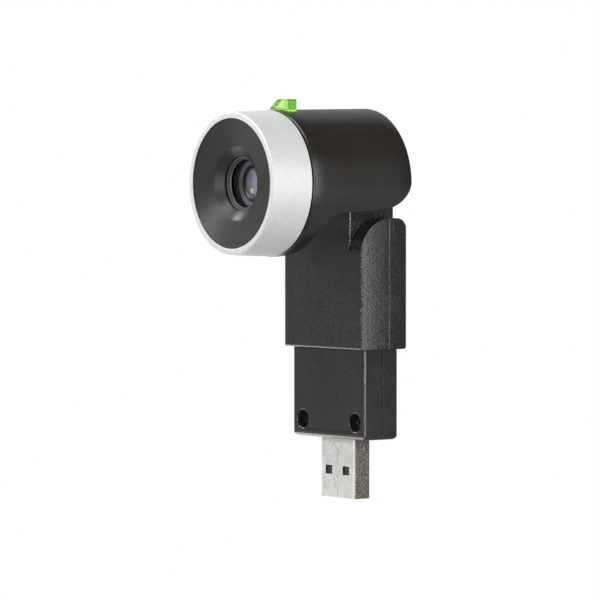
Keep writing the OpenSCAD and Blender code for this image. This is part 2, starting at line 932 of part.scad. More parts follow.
module plug_screws() {
    seat = base_front + 3.2;
    tip = base_back - 1.6;
    color("#3a3a3a")
        for (side = [-1, 1])
            translate([side * screw_pitch / 2, tip, screw_z])
                rotate([90, 0, 0])
                    small_screw(tip - seat, 0.95, 1.85, 1.3);
}

module plug_board() {
    half_low = 9.5;
    half_high = 8.4;
    shoulder = base_h - wall - 2.6;
    top = stem_foot + 15.5;
    color("#1f5a3a") {
        span([-half_low, plug_board_front, plug_board_foot], [half_low, plug_board_back, shoulder]);
        span([-half_high, plug_board_front, shoulder - eps], [half_high, plug_board_back, top]);
    }
}

module plug_chips() {
    z = stem_foot + 4.5;
    color("#2d3035") {
        span([-3.5, plug_board_front - 0.9, z], [3.5, plug_board_front, z + 7]);
        span([-1.6, plug_board_back, z + 1], [1.6, plug_board_back + 0.8, z + 3.5]);
        span([-4.5, plug_board_front - 2.1, z + 8.4], [4.5, plug_board_front, z + 10.6]);
        for (x = [-6.4, 5.0], k = [0 : 2])
            span([x, plug_board_front - 0.7, z + 2.2 * k], [x + 1.4, plug_board_front, z + 2.2 * k + 1.0]);
    }
}

// ---------- USB plug ----------

// Fine line where the rolled sheet meets in front: straight up the middle, with two dovetail locks
module lock_seam(face, depth) {
    line = 0.08;
    side_step = -1.1;
    flare = 0.25;
    lock_low = -plug_len + 2.2;
    lock_high = -1.9;
    lock_h = 2.0;
    route = [[0, -plug_len - 1], [0, lock_low], [side_step, lock_low - flare], [side_step, lock_low + lock_h + flare],
        [0, lock_low + lock_h], [0, lock_high], [side_step, lock_high - flare], [side_step, 0.5]];
    for (i = [0 : len(route) - 2]) {
        run = route[i + 1] - route[i];
        translate([route[i][0], face - 1, route[i][1]])
            rotate([0, atan2(run[0], run[1]), 0])
                translate([-line / 2, 0, -line / 2])
                    cube([line, 1 + depth, norm(run) + line]);
    }
}

module usb_shell() {
    half = plug_w / 2;
    deep = plug_t / 2;
    s = plug_sheet;
    corner = s + 0.15;
    window = [2.35, 2.0];
    window_x = 3.05;
    window_z = -plug_len + 6.1;
    tail = 5.6;
    color("#b9bcbd")
        difference() {
            translate([0, 0, -plug_len])
                linear_extrude(plug_len + tail)
                    difference() {
                        soft_rect(-half, -deep, half, deep, corner, corner, 4);
                        soft_rect(-half + s, -deep + s, half - s, deep - s, corner - s, corner - s, 4);
                    }
            for (side = [-1, 1])
                translate([side * window_x - window[0] / 2, -10, window_z - window[1] / 2])
                    cube([window[0], 20, window[1]]);
            lock_seam(-deep, s / 2);
        }
}

module usb_tongue() {
    half = plug_w / 2 - plug_sheet - 0.05;
    deep = plug_t / 2 - plug_sheet - 0.01;
    corner = 0.35;
    block_foot = 0.5;
    color("#1b1b1c")
        difference() {
            union() {
                translate([0, 0, -plug_len + 0.5])
                    linear_extrude(plug_len + block_top - 0.5)
                        soft_rect(-half, -deep, half, tongue_face, corner, 0.1, 3);
                translate([0, 0, block_foot])
                    linear_extrude(block_top - block_foot)
                        soft_rect(-half, -deep, half, deep, corner, corner, 3);
            }
            for (x = contact_x)
                span([x - contact_half - 0.02, tongue_face - contact_bed, -plug_len + 1.2],
                    [x + contact_half + 0.02, tongue_face + 1, block_top + 1]);
        }
}

// Four spring contacts in the grooves of the tongue, facing back, the outer two longer. Each steps
// back under the foot of the board to a solder tail on its face.
module usb_contacts() {
    bed = tongue_face - contact_bed;
    step_low = plug_board_foot - 0.6;
    step_high = plug_board_foot - 0.2;
    color("#d8b45a")
        for (x = contact_x) {
            start = abs(x) > 2 ? -plug_len + 1.3 : -plug_len + 2.3;
            span([x - contact_half, bed, start], [x + contact_half, bed + 0.25, step_high]);
            span([x - contact_half, bed, step_low], [x + contact_half, plug_board_front, step_high]);
            span([x - contact_half, plug_board_front - 0.25, step_low],
                [x + contact_half, plug_board_front, plug_board_foot + 1.2]);
        }
}

front_ring();
lens_dish();
lens_hood();
lens_retainer();
front_lens();
middle_lens();
rear_lens();
lens_barrel();
lens_holder();
ir_filter();
image_sensor();
camera_board();
camera_chips();
inner_frame();
frame_screws();
shutter_sleeve();
shutter_blade();
blade_pin();
head_housing();
hinge_bracket();
bracket_screws();
hinge_pin();
pin_clip();
hinge_arm();
arm_screws();
thrust_washers();
stem_front_shell();
stem_rear_shell();
plug_front_shell();
plug_rear_shell();
plug_screws();
plug_board();
plug_chips();
usb_shell();
usb_tongue();
usb_contacts();
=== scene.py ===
import math

import bmesh
import bpy
import numpy as np
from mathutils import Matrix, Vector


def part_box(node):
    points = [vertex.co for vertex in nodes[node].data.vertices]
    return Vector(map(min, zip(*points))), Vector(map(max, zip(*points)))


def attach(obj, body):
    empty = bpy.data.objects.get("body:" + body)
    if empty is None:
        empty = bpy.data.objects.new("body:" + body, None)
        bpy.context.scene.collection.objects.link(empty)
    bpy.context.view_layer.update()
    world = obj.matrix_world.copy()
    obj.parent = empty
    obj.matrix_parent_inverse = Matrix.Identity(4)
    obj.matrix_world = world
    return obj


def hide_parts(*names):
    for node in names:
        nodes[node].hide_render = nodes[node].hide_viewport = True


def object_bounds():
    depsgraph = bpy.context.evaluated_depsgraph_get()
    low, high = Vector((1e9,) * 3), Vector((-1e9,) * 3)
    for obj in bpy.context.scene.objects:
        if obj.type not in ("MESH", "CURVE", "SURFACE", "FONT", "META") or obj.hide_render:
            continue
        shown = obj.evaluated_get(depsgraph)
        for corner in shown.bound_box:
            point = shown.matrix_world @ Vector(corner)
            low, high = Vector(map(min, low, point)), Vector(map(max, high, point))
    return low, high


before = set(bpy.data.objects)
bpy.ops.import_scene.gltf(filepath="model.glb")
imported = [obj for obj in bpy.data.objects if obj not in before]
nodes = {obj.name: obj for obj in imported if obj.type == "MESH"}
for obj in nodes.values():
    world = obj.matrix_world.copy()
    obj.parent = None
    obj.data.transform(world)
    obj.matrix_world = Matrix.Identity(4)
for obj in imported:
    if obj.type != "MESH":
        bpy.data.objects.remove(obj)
cad_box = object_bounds()
scene = bpy.context.scene

# ---------- Viewpoint ----------
# A long lens nearly a metre away, a little above the middle of the object and well round to its
# right, so that the lens, the right-hand side and the front of the stem all show.
mm = 0.001
view_azimuth = math.radians(52.738)
view_elevation = math.radians(1.968)
view_distance = 902.635 * mm
view_target = np.array([-16.62, 0.0, 29.907]) * mm
towards_view = np.array([
    math.sin(view_azimuth) * math.cos(view_elevation),
    -math.cos(view_azimuth) * math.cos(view_elevation),
    math.sin(view_elevation)])

view_data = bpy.data.cameras.new("long_lens")
view_data.sensor_width = 36
view_data.lens = 241.385
view_data.clip_start = 0.05
view_data.clip_end = 20
viewpoint = bpy.data.objects.new("viewpoint", view_data)
viewpoint.location = view_target + towards_view * view_distance
viewpoint.rotation_euler = (math.pi / 2 - view_elevation, 0, view_azimuth)
scene.collection.objects.link(viewpoint)
scene.camera = viewpoint
scene.view_settings.view_transform = "Standard"

# ---------- Studio ----------
# A white paper sweep well below the plug and large soft lamps: a panel to the left in front, a
# tall lamp that rakes the right-hand side, one above, one below the left, and three small bright ones
# that draw the glints on the rounded edges and in the dish.
floor_z = cad_box[0][2] - 0.30
middle = np.array([0, -12, 35]) * mm
fill_light = 0.06
paper_glow = 0.44


def lamp(name, azimuth, elevation, distance, size, brightness):
    """Rectangular lamp seen from the middle of the object at an azimuth (0 in front, 90 to the right)
    and an elevation in degrees. Its power is its brightness times pi times its area."""
    bearing, climb = math.radians(azimuth), math.radians(elevation)
    data = bpy.data.lights.new(name, "AREA")
    data.shape = "RECTANGLE"
    data.size, data.size_y = size
    data.energy = brightness * math.pi * size[0] * size[1]
    lamp_object = bpy.data.objects.new(name, data)
    away = np.array([
        math.sin(bearing) * math.cos(climb),
        -math.cos(bearing) * math.cos(climb),
        math.sin(climb)])
    lamp_object.location = middle + away * distance
    lamp_object.rotation_euler = (math.pi / 2 - climb, 0, bearing)
    scene.collection.objects.link(lamp_object)


lamp("left_panel", -55, 5, 0.8, (0.9, 1.0), 0.24)
lamp("side_lamp", 101, 6, 0.6, (0.18, 0.60), 9.0)
lamp("top_lamp", -10, 72, 0.7, (0.55, 0.45), 5.0)
lamp("under_lamp", -92, -37, 0.4, (0.26, 0.26), 4.0)
lamp("strip_lamp", -80, 36, 0.5, (0.14, 0.12), 24.0)
lamp("front_strip", -28, 22, 0.6, (0.12, 0.12), 30.0)
lamp("corner_strip", 32, 4, 0.6, (0.04, 0.45), 30.0)


def seen_directly(tree):
    """1 on rays that come straight from the viewpoint or through something clear, otherwise 0."""
    path = tree.nodes.new("ShaderNodeLightPath")
    either = tree.nodes.new("ShaderNodeMath")
    either.operation = "MAXIMUM"
    tree.links.new(path.outputs["Is Camera Ray"], either.inputs[0])
    tree.links.new(path.outputs["Is Transmission Ray"], either.inputs[1])
    return either.outputs[0]


world = bpy.data.worlds.new("studio")
scene.world = world
world.use_nodes = True
sky = world.node_tree
sky.nodes.clear()
plain_white = sky.nodes.new("ShaderNodeBackground")
plain_white.inputs["Color"].default_value = (1, 1, 1, 1)
fill = sky.nodes.new("ShaderNodeBackground")
fill.inputs["Color"].default_value = (1, 1, 1, 1)
fill.inputs["Strength"].default_value = fill_light
sky_mix = sky.nodes.new("ShaderNodeMixShader")
sky_out = sky.nodes.new("ShaderNodeOutputWorld")
sky.links.new(seen_directly(sky), sky_mix.inputs[0])
sky.links.new(fill.outputs[0], sky_mix.inputs[1])
sky.links.new(plain_white.outputs[0], sky_mix.inputs[2])
sky.links.new(sky_mix.outputs[0], sky_out.inputs["Surface"])


def paper_grid(half_width, depth, bend, height):
    """Points of a paper sweep: along v it runs straight back, turns up a quarter circle and rises."""
    front_edge = -1.5
    floor_rows = 12
    turn = np.linspace(0, math.pi / 2, 16)[1:]
    rise = np.linspace(0, height, 5)[1:]
    floor = np.linspace(front_edge, depth, floor_rows)
    y = np.concatenate([floor, depth + bend * np.sin(turn), np.full(len(rise), depth + bend)])
    z = np.concatenate([np.zeros(floor_rows), bend * (1 - np.cos(turn)), bend + rise])
    x = np.linspace(-half_width, half_width, 9)
    return np.stack(np.broadcast_arrays(x[None, :], y[:, None], z[:, None]), axis=-1)


def surface_mesh(name, grid, close_u=False, close_v=False):
    """Mesh of quads over a grid of points. close_u joins the last column to the first, and close_v the
    last row to the first. A closed surface is turned so that the volume it encloses counts as positive,
    which points its faces outwards, and rows that shrink to one point are merged into a pole."""
    rows, columns = grid.shape[:2]
    index = np.arange(rows * columns).reshape(rows, columns)
    if close_u:
        index = np.concatenate([index, index[:, :1]], axis=1)
    if close_v:
        index = np.concatenate([index, index[:1, :]], axis=0)
    corners = [index[:-1, :-1], index[:-1, 1:], index[1:, 1:], index[1:, :-1]]
    quads = np.stack(corners, axis=-1).reshape(-1, 4)
    points = grid.reshape(-1, 3)
    if close_u:
        a, b, c, d = (points[quads[:, i]] for i in range(4))
        volume = (a * np.cross(b, c)).sum() + (a * np.cross(c, d)).sum()
        if volume < 0:
            quads = quads[:, ::-1]
    mesh = bpy.data.meshes.new(name)
    mesh.from_pydata(points.tolist(), [], quads.tolist())
    merged = bmesh.new()
    merged.from_mesh(mesh)
    bmesh.ops.remove_doubles(merged, verts=merged.verts, dist=0.0001 * mm)
    merged.to_mesh(mesh)
    merged.free()
    mesh.polygons.foreach_set("use_smooth", np.ones(len(mesh.polygons), bool))
    return mesh


sweep_mesh = surface_mesh("paper_sweep", paper_grid(half_width=3.0, depth=1.2, bend=0.4, height=2.0))
sweep = bpy.data.objects.new("paper_sweep", sweep_mesh)
sweep.location = (0, 0, floor_z)
sweep.rotation_euler = (0, 0, view_azimuth)
scene.collection.objects.link(sweep)
paper = bpy.data.materials.new("white_paper")
paper.use_nodes = True
paper_tree = paper.node_tree
paper_tree.nodes.clear()
bright_paper = paper_tree.nodes.new("ShaderNodeEmission")
bright_paper.inputs["Strength"].default_value = 1.0
dim_paper = paper_tree.nodes.new("ShaderNodeEmission")
dim_paper.inputs["Strength"].default_value = paper_glow
paper_mix = paper_tree.nodes.new("ShaderNodeMixShader")
paper_out = paper_tree.nodes.new("ShaderNodeOutputMaterial")
paper_tree.links.new(seen_directly(paper_tree), paper_mix.inputs[0])
paper_tree.links.new(dim_paper.outputs[0], paper_mix.inputs[1])
paper_tree.links.new(bright_paper.outputs[0], paper_mix.inputs[2])
paper_tree.links.new(paper_mix.outputs[0], paper_out.inputs["Surface"])
sweep.data.materials.append(paper)

# ---------- Stem shells ----------
# Two halves of the stem, front and rear, moulded in black ABS with a fine spark-eroded texture
# from the tool. They close on a parting line down each side and clamp the hinge arm between them.


def make_group(name, inputs, outputs):
    """Empty shader node group. inputs and outputs map a socket's name to its type."""
    group = bpy.data.node_groups.new(name, "ShaderNodeTree")
    for label, kind in inputs.items():
        group.interface.new_socket(label, in_out="INPUT", socket_type="NodeSocket" + kind)
    for label, kind in outputs.items():
        group.interface.new_socket(label, in_out="OUTPUT", socket_type="NodeSocket" + kind)
    return group, group.nodes.new("NodeGroupInput").outputs, group.nodes.new("NodeGroupOutput").inputs


def place(tree, value, socket):
    """Sets a socket to a plain number or colour, or links it to another node's output."""
    if isinstance(value, bpy.types.NodeSocket):
        tree.links.new(value, socket)
    else:
        socket.default_value = value


def maths(tree, operation, a, b=0.0):
    """Output of a Math node with one or two inputs."""
    node = tree.nodes.new("ShaderNodeMath")
    node.operation = operation
    for socket, value in zip(node.inputs, (a, b)):
        place(tree, value, socket)
    return node.outputs[0]


def vector_maths(tree, operation, a, b=(0.0, 0.0, 0.0)):
    """Vector Math node, with its two vector inputs filled."""
    node = tree.nodes.new("ShaderNodeVectorMath")
    node.operation = operation
    place(tree, a, node.inputs[0])
    place(tree, b, node.inputs[1])
    return node


def noise(tree, at, scale, detail=2.0):
    """Value of a noise texture, in cells per metre."""
    node = tree.nodes.new("ShaderNodeTexNoise")
    place(tree, at, node.inputs["Vector"])
    place(tree, scale, node.inputs["Scale"])
    node.inputs["Detail"].default_value = detail
    return node.outputs["Fac"]


def remap(tree, value, low, high, out_low=0.0, out_high=1.0):
    """Value stretched from one range to another, which is 0 to 1 if not given, and held inside it."""
    node = tree.nodes.new("ShaderNodeMapRange")
    labels = ("Value", "From Min", "From Max", "To Min", "To Max")
    for label, number in zip(labels, (value, low, high, out_low, out_high)):
        place(tree, number, node.inputs[label])
    return node.outputs["Result"]


def mix_colours(tree, amount, first, second):
    """Colour that goes from the first to the second as amount goes from 0 to 1. A Mix node keeps its
    two colours at inputs 6 and 7 and its mixed colour at output 2."""
    node = tree.nodes.new("ShaderNodeMix")
    node.data_type = "RGBA"
    place(tree, amount, node.inputs["Factor"])
    for socket, colour in ((node.inputs[6], first), (node.inputs[7], second)):
        place(tree, colour if isinstance(colour, bpy.types.NodeSocket) else (*colour, 1), socket)
    return node.outputs[2]


def spark_texture_group():
    """Texture of a spark-eroded mould: fine pits, a few bright flats among them, and slow patches
    where the tool is a little smoother. Tint is about 0 to 1, Flats picks the bright specks."""
    group, given, out = make_group(
        "spark_texture", {"Vector": "Vector", "Scale": "Float"},
        {"Tint": "Float", "Flats": "Float", "Patches": "Float", "Height": "Float"})
    finer_by = 2.3
    fine_share, finer_share = 0.65, 0.35
    patch_scale = 90.0
    fine = noise(group, given["Vector"], given["Scale"], 1.0)
    finer = noise(group, given["Vector"], maths(group, "MULTIPLY", given["Scale"], finer_by), 0.0)
    slow = noise(group, given["Vector"], patch_scale, 3.0)
    coarse_part = maths(group, "MULTIPLY", fine, fine_share)
    fine_part = maths(group, "MULTIPLY", finer, finer_share)
    both = maths(group, "ADD", coarse_part, fine_part)
    place(group, remap(group, both, 0.34, 0.66), out["Tint"])
    place(group, remap(group, both, 0.58, 0.68), out["Flats"])
    place(group, remap(group, slow, 0.3, 0.7), out["Patches"])
    place(group, both, out["Height"])
    return group


def edge_group():
    """Mask of the corners: it compares the surface's normal with one rounded over
    a small radius, so it is 1 on corners, 0 on flats and a little uneven along an edge. Finishes that
    lighten their corners with it paint an edge highlight there."""
    flat_cosine, corner_cosine = 0.99, 0.85
    unevenness_scale = 500.0
    group, given, out = make_group(
        "corner_mask", {"Vector": "Vector", "Radius": "Float"}, {"Mask": "Float"})
    rounded = group.nodes.new("ShaderNodeBevel")
    rounded.samples = 4
    place(group, given["Radius"], rounded.inputs["Radius"])
    surface = group.nodes.new("ShaderNodeNewGeometry")
    turn = vector_maths(group, "DOT_PRODUCT", rounded.outputs["Normal"], surface.outputs["Normal"])
    corner = remap(group, turn.outputs["Value"], flat_cosine, corner_cosine)
    uneven = remap(group, noise(group, given["Vector"], unevenness_scale, 2.0), 0.35, 0.6, 0.75, 1.0)
    place(group, maths(group, "MULTIPLY", corner, uneven), out["Mask"])
    return group


spark_texture = spark_texture_group()
corner_mask = edge_group()


def new_finish(name, roughness, metallic=0.0):
    """New material: its node tree, its Principled shader and the object coordinates it reads."""
    material = bpy.data.materials.new(name)
    material.use_nodes = True
    tree = material.node_tree
    shader = tree.nodes["Principled BSDF"]
    shader.inputs["Roughness"].default_value = roughness
    shader.inputs["Metallic"].default_value = metallic
    return material, tree, shader, tree.nodes.new("ShaderNodeTexCoord").outputs["Object"]


def use_group(tree, group, **values):
    """Puts a node group in a material with its own values, and returns its outputs."""
    node = tree.nodes.new("ShaderNodeGroup")
    node.node_tree = group
    for label, value in values.items():
        place(tree, value, node.inputs[label])
    return node.outputs


def raise_surface(tree, shader, height, strength, depth):
    """Bump from a height. depth is the relief in metres."""
    bump = tree.nodes.new("ShaderNodeBump")
    bump.inputs["Strength"].default_value = strength
    bump.inputs["Distance"].default_value = depth
    place(tree, height, bump.inputs["Height"])
    place(tree, bump.outputs["Normal"], shader.inputs["Normal"])


def moulded(name, colour, roughness, grain, speck, relief, edge_lift):
    """Moulded black plastic: pits darken it, flats lighten it by speck, and edge_lift lightens its edges as
    rubbed wear and a painted edge highlight.
    grain is in cells per metre and relief is the depth of the pits."""
    material, tree, shader, at = new_finish(name, roughness)
    texture = use_group(tree, spark_texture, Vector=at, Scale=grain)
    edge = use_group(tree, corner_mask, Vector=at, Radius=0.25 * mm)["Mask"]
    dark = [c * (1 - speck * 0.6) for c in colour]
    light = [c * (1 + speck) for c in colour]
    flat_colour = [c * 3 for c in colour]
    # Edges lighten towards this colour: rubbed wear and a painted edge highlight.
    edge_colour = [c * 4 + 0.02 for c in colour]
    base = mix_colours(tree, texture["Tint"], dark, light)
    flats = mix_colours(tree, maths(tree, "MULTIPLY", texture["Flats"], speck), base, flat_colour)
    rubbed_and_highlit = mix_colours(tree, maths(tree, "MULTIPLY", edge, edge_lift), flats, edge_colour)
    place(tree, rubbed_and_highlit, shader.inputs["Base Color"])
    rough = remap(tree, texture["Patches"], 0.0, 1.0, roughness - 0.04, roughness + 0.05)
    polish = maths(tree, "MULTIPLY", edge, 0.08)
    place(tree, maths(tree, "SUBTRACT", rough, polish), shader.inputs["Roughness"])
    raise_surface(tree, shader, texture["Height"], 1.0, relief)
    return material


sharp_angle = math.radians(40)


def dress(node, material, edge=0.0):
    """Gives a CAD node its finish and, where edge is given, a small round on its sharp edges."""
    piece = nodes[node]
    piece.data.materials.clear()
    piece.data.materials.append(material)
    if edge:
        weld = piece.modifiers.new("weld", "WELD")
        weld.merge_threshold = 0.001 * mm
        bevel = piece.modifiers.new("edge", "BEVEL")
        bevel.width = edge
        bevel.segments = 3
        bevel.limit_method = "ANGLE"
        bevel.angle_limit = sharp_angle
        bevel.use_clamp_overlap = False
        bevel.harden_normals = True


abs_black = (0.013, 0.0125, 0.0115)
stem_black = moulded("spark_textured_black", abs_black, 0.28, 2400.0, 0.90, 0.075 * mm, 0.35)
case_edge = 0.12 * mm
rear_edge = 0.08 * mm
dress("stem_front_shell", stem_black, case_edge)
dress("stem_rear_shell", stem_black, rear_edge)

# ---------- Lower block ----------
# Two half shells of the block that holds the plug, in a slightly finer texture than the stem, drawn
# together by two black cross-head screws sunk in deep round holes.
block_black = moulded("fine_textured_black", abs_black, 0.28, 3200.0, 0.70, 0.04 * mm, 0.35)
for shell in ("plug_front_shell", "plug_rear_shell"):
    dress(shell, block_black, case_edge)


def steel_group():
    """Drawn or turned metal: fine lines along the Vector's first axis, and slow stains across them."""
    stretch = (0.06, 1.0, 1.0)
    stain_scale = 350.0
    group, given, out = make_group(
        "drawn_metal", {"Vector": "Vector", "Scale": "Float"}, {"Lines": "Float", "Stains": "Float"})
    stretched = vector_maths(group, "MULTIPLY", given["Vector"], stretch).outputs["Vector"]
    place(group, noise(group, stretched, given["Scale"], 2.0), out["Lines"])
    place(group, remap(group, noise(group, given["Vector"], stain_scale, 3.0), 0.35, 0.7), out["Stains"])
    return group


drawn_metal = steel_group()


def metal(name, colour, stain, roughness):
    """Bare or plated metal with drawn lines, stained towards a second colour, and brighter on its edges
    as rubbed wear and a painted edge highlight.
    """
    lines_per_metre = 6000.0
    material, tree, shader, at = new_finish(name, roughness, metallic=1.0)
    drawn = use_group(tree, drawn_metal, Vector=at, Scale=lines_per_metre)
    edge = use_group(tree, corner_mask, Vector=at, Radius=0.12 * mm)["Mask"]
    stained = mix_colours(tree, maths(tree, "MULTIPLY", drawn["Stains"], 0.5), colour, stain)
    # Edges brighten towards this colour: rubbed wear and a painted edge highlight.
    edge_colour = [min(1, c * 1.3) for c in colour]
    bright = mix_colours(tree, maths(tree, "MULTIPLY", edge, 0.4), stained, edge_colour)
    place(tree, bright, shader.inputs["Base Color"])
    rough = remap(tree, drawn["Lines"], 0.3, 0.7, roughness - 0.07, roughness + 0.1)
    place(tree, rough, shader.inputs["Roughness"])
    raise_surface(tree, shader, drawn["Lines"], 0.25, 0.01 * mm)
    return material


black_oxide = metal("black_oxide_screw", (0.10, 0.10, 0.10), (0.05, 0.045, 0.04), 0.32)
dress("plug_screws", black_oxide, 0.08 * mm)

# ---------- Plug ----------
# Nickel-plated steel sheet rolled into a tube and locked by two dovetails in front, round a black
# plastic tongue that carries four gold-plated contacts. Its sides are painted dark brown: painted shade.


def plug_metal():
    """Nickel: pale and grained on the broad faces, and dark brown and speckled where the normal points
    along X, which is painted shade on the sides of the shell."""
    material, tree, shader, at = new_finish("nickel_painted_side_shade", 0.40, 0.85)
    facing = tree.nodes.new("ShaderNodeTexCoord").outputs["Normal"]
    parts = tree.nodes.new("ShaderNodeSeparateXYZ")
    place(tree, facing, parts.inputs[0])
    # Painted shade: where the normal points along X, the sides turn dark brown.
    painted_side_shade = remap(tree, maths(tree, "ABSOLUTE", parts.outputs["X"]), 0.75, 0.95)
    grain = noise(tree, at, 4200.0)
    smudges = noise(tree, at, 700.0, 3.0)
    pale_low, pale_high = (0.76, 0.75, 0.73), (0.95, 0.94, 0.92)
    side_shade_low, side_shade_high = (0.030, 0.024, 0.018), (0.36, 0.325, 0.285)
    pale = mix_colours(tree, remap(tree, grain, 0.35, 0.65), pale_low, pale_high)
    shaded_side_colour = mix_colours(tree, remap(tree, grain, 0.40, 0.66), side_shade_low, side_shade_high)
    place(tree, mix_colours(tree, painted_side_shade, pale, shaded_side_colour), shader.inputs["Base Color"])
    place(tree, remap(tree, smudges, 0.3, 0.7, 0.34, 0.50), shader.inputs["Roughness"])
    raise_surface(tree, shader, grain, 0.5, 0.03 * mm)
    return material


nickel_painted_side_shade = plug_metal()
dress("usb_shell", nickel_painted_side_shade, 0.05 * mm)
tongue_black = moulded("tongue_black", (0.022, 0.022, 0.024), 0.45, 5000.0, 0.25, 0.02 * mm, 0.15)
dress("usb_tongue", tongue_black)
gold_plate = metal("gold_plate", (0.90, 0.68, 0.30), (0.70, 0.48, 0.20), 0.25)
dress("usb_contacts", gold_plate, 0.03 * mm)

dimple_radius = 0.62 * mm
dimple_rise = 0.10 * mm
dimple_y = 0.75 * mm
dimple_z = -2.3 * mm
dimple_seat = 0.02 * mm
shell_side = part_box("usb_shell")[1][0]


def dimple_grid(radius, rise, rings=10, around=40):
    """Shallow pressed dome on the side of the shell: its height is rise times (1 - s squared) squared,
    where s goes from 0 at the middle to 1 at the rim. A flat disc just inside the wall closes it."""
    s = np.concatenate([np.linspace(0, 1, rings), [0.0]])
    height = rise * (1 - s ** 2) ** 2
    height[-2:] = -dimple_seat
    angle = np.linspace(0, 2 * math.pi, around, endpoint=False)
    x = shell_side + np.broadcast_to(height[:, None], (rings + 1, around))
    y = dimple_y + radius * s[:, None] * np.cos(angle)[None, :]
    z = dimple_z + radius * s[:, None] * np.sin(angle)[None, :]
    return np.stack([x, y, z], axis=-1)


def new_piece(name, mesh, material, body, slot, *stands_for):
    """Adds a finished mesh to the scene with its finish and the body it rides on. Its slot is not used."""
    piece = bpy.data.objects.new(name, mesh)
    piece.data.materials.append(material)
    scene.collection.objects.link(piece)
    smooth = piece.modifiers.new("flat_faces", "WEIGHTED_NORMAL")
    smooth.keep_sharp = True
    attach(piece, body)
    if stands_for:
        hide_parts(*stands_for)


dimple_mesh = surface_mesh("side_dimple", dimple_grid(dimple_radius, dimple_rise), close_u=True)
new_piece("side_dimple", dimple_mesh, nickel_painted_side_shade, "stem", "usb_shell")

# ---------- Circuit boards ----------
# Glass-fibre boards under green solder mask, one behind the lens and one that stands up from the
# plug, with moulded black packages soldered to them.


def solder_mask():
    """Green lacquer over copper: thin straight tracks on a square pitch show through a little lighter."""
    material, tree, shader, at = new_finish("green_solder_mask", 0.30)
    tracks = tree.nodes.new("ShaderNodeTexBrick")
    place(tree, at, tracks.inputs["Vector"])
    tracks.inputs["Scale"].default_value = 900.0
    tracks.inputs["Mortar Size"].default_value = 0.06
    weave = noise(tree, at, 2500.0)
    lacquer = mix_colours(tree, weave, (0.012, 0.085, 0.040), (0.022, 0.130, 0.060))
    copper_shows = mix_colours(tree, tracks.outputs["Fac"], lacquer, (0.05, 0.22, 0.09))
    place(tree, copper_shows, shader.inputs["Base Color"])
    place(tree, remap(tree, weave, 0.3, 0.7, 0.24, 0.40), shader.inputs["Roughness"])
    raise_surface(tree, shader, tracks.outputs["Fac"], 0.3, 0.03 * mm)
    return material


board_green = solder_mask()
chip_black = moulded("package_black", (0.030, 0.030, 0.032), 0.50, 6000.0, 0.30, 0.02 * mm, 0.20)
for board in ("plug_board", "camera_board"):
    dress(board, board_green, 0.05 * mm)
for chips in ("plug_chips", "camera_chips"):
    dress(chips, chip_black, 0.05 * mm)

# ---------- Hinge ----------
# A spring-steel arm curled round a turned pin, which is held in a pressed bracket by a clip. Dry
# friction between arm and pin holds the head where it is left; bronze washers space it sideways.
spring_steel = metal("spring_steel", (0.42, 0.43, 0.44), (0.28, 0.25, 0.22), 0.34)
turned_steel = metal("turned_steel", (0.66, 0.66, 0.65), (0.50, 0.48, 0.45), 0.24)
zinc_plate = metal("zinc_plate", (0.62, 0.63, 0.62), (0.48, 0.46, 0.40), 0.36)
bronze = metal("phosphor_bronze", (0.72, 0.48, 0.26), (0.45, 0.28, 0.15), 0.34)
hinge_edge = 0.06 * mm
for finish, piece_names in (
        (spring_steel, ("hinge_arm", "hinge_bracket", "pin_clip")),
        (turned_steel, ("hinge_pin", "blade_pin")),
        (zinc_plate, ("arm_screws", "bracket_screws", "frame_screws")),
        (bronze, ("thrust_washers",))):
    for piece_name in piece_names:
        dress(piece_name, finish, hinge_edge)

# ---------- Head housing ----------
# One black moulding, closed behind, in a smooth satin finish that is finer than the stem's. The
# chin is cut away so that the neck and shoulders clear it as the head nods.
barrel_black = moulded("satin_black", (0.015, 0.0130, 0.0110), 0.27, 4200.0, 0.25, 0.015 * mm, 0.25)
dress("head_housing", barrel_black, 0.10 * mm)
inner_black = moulded("inner_black", (0.022, 0.022, 0.022), 0.48, 4200.0, 0.20, 0.02 * mm, 0.20)
for piece_name in ("inner_frame", "lens_holder"):
    dress(piece_name, inner_black, 0.06 * mm)

# ---------- Silver ring ----------
# A turned aluminium ring pressed over the nose of the barrel and sprayed satin silver. Its front
# face is flat between two small rounds, and a fine groove parts it from the barrel.
ring_low, ring_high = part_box("front_ring")
ring_front = ring_low[1]
ring_length = ring_high[1] - ring_low[1]
axis_z = (ring_low[2] + ring_high[2]) / 2
ring_outer = (ring_high[2] - ring_low[2]) / 2
nose_radius = ring_outer - 1.05 * mm
lip_radius = ring_outer - 1.75 * mm
lip_depth = 0.20 * mm


def rounded_profile(corners, steps=6):
    """Closed outline from corners given as (radius, depth, round), all in metres. Each corner turns
    into a parabola between the points that lie one round before it and one round after it."""
    corners = np.array(corners, float)
    point, size = corners[:, :2], corners[:, 2:]
    before = np.roll(point, 1, axis=0) - point
    after = np.roll(point, -1, axis=0) - point
    start = point + before / np.linalg.norm(before, axis=1, keepdims=True) * size
    end = point + after / np.linalg.norm(after, axis=1, keepdims=True) * size
    t = np.linspace(0, 1, steps)[None, :, None]
    bend = (1 - t) ** 2 * start[:, None] + 2 * t * (1 - t) * point[:, None] + t ** 2 * end[:, None]
    return bend.reshape(-1, 2)


def turned(profile, around=160):
    """Outline of (radius, depth behind the ring's front) carried once round the lens axis."""
    angle = np.linspace(0, 2 * math.pi, around, endpoint=False)
    radius, depth = profile[:, :1], profile[:, 1:]
    x = radius * np.cos(angle)[None, :]
    y = np.broadcast_to(ring_front + depth, x.shape)
    z = axis_z + radius * np.sin(angle)[None, :]
    return np.stack([x, y, z], axis=-1)


